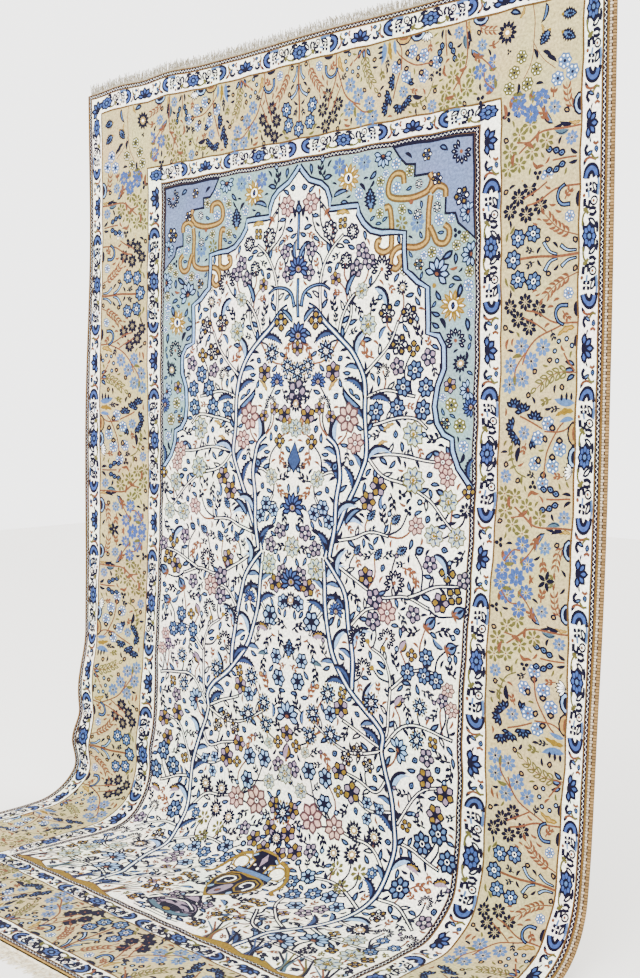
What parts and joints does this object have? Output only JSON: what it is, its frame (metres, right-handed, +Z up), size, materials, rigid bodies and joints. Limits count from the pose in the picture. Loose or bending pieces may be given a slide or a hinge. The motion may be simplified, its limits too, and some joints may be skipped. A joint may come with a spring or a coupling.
{
  "type": "hanging prayer rug",
  "caption": "Hand-knotted wool prayer rug hung flat by its upper end, its lower end swept in one curve onto the floor, with overcast side cords and short cotton fringe.",
  "frame": {"origin": "middle of the whole part's footprint, at floor level", "axes": "+Z up; +Y towards the wall that the rug hangs on, so the pile faces -Y on the hanging part and up on the floor; +X to the right as seen from the pile side"},
  "size_m": [1.3986, 0.689, 1.6915],
  "materials": {
    "wool_pile": "low clipped wool pile, ivory and beige ground with navy, light blue, ochre and rust pattern",
    "overcast_wool": "tan wool yarn wound round the side cords",
    "cotton_warp": "undyed plied cotton warp ends, slightly frizzy"
  },
  "bodies": {
    "root": {"rug": "wool_pile", "selvedge_left": "overcast_wool", "selvedge_right": "overcast_wool", "fringe_top": "cotton_warp", "fringe_bottom": "cotton_warp"}
  },
  "joints": []
}
